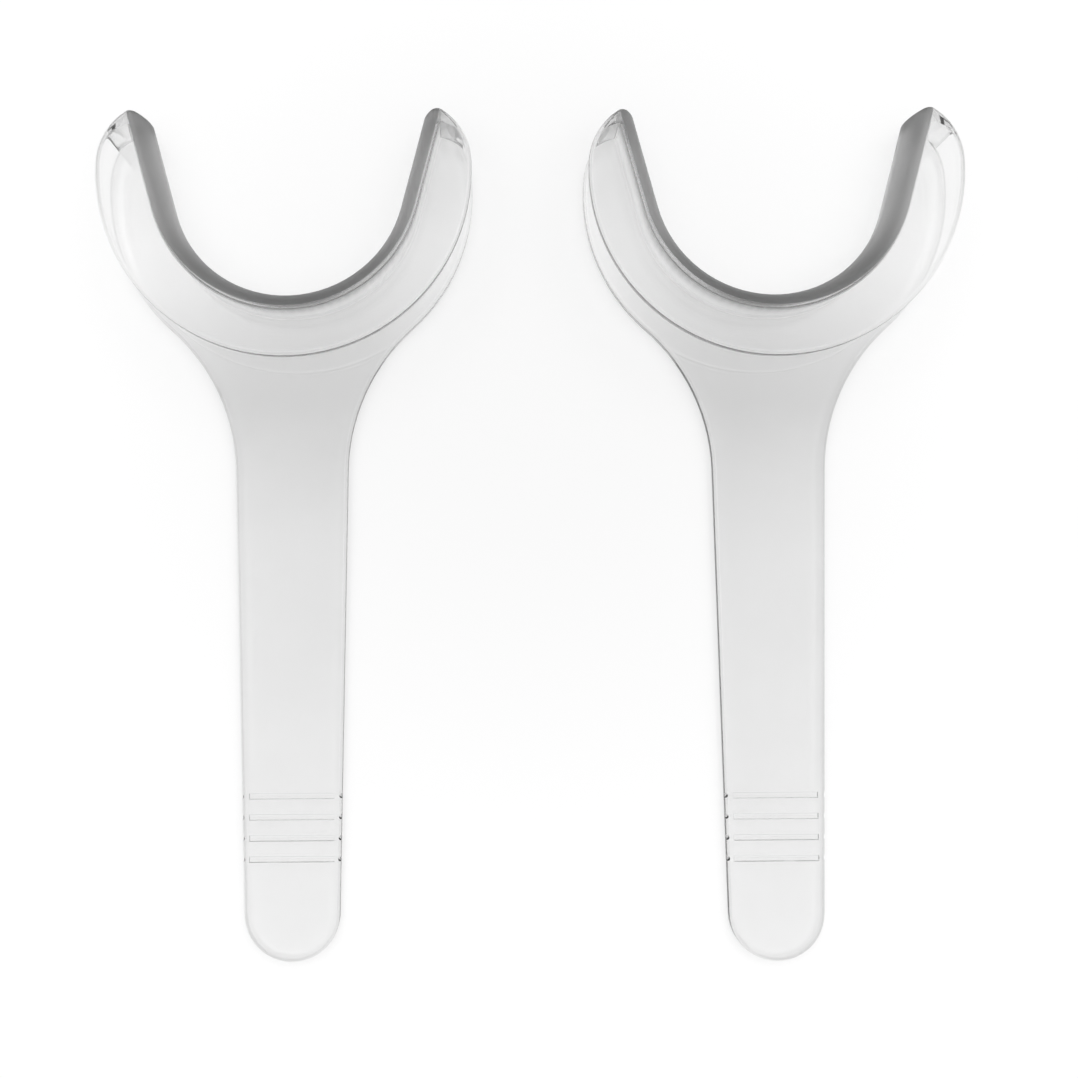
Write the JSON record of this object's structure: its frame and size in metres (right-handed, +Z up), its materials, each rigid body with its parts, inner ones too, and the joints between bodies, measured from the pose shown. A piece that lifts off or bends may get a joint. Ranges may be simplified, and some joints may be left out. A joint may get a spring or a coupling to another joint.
{
  "type": "cheek retractor",
  "caption": "Clear plastic hand-held cheek retractors, each a U-shaped lip channel on a flat handle with a rounded end and shallow cross grooves for grip.",
  "frame": {"origin": "on the table surface, in the middle of the pair's outline seen from above", "axes": "+Z up off the table, through the flat handles; the handles point towards -Y and the U-shaped heads open towards +Y; +X runs from the left retractor to the right one"},
  "size_m": [0.1532, 0.1514, 0.0127],
  "materials": {
    "clear_plastic": "polished clear injection-moulded plastic"
  },
  "bodies": {
    "left_piece": {"left_retractor": "clear_plastic"},
    "right_piece": {"right_retractor": "clear_plastic"}
  },
  "joints": [
    {"name": "right_piece_lift", "type": "slide", "parent": "left_piece", "child": "right_piece", "axis": [0, 0, 1], "range_m": [0, 0.08]}
  ]
}
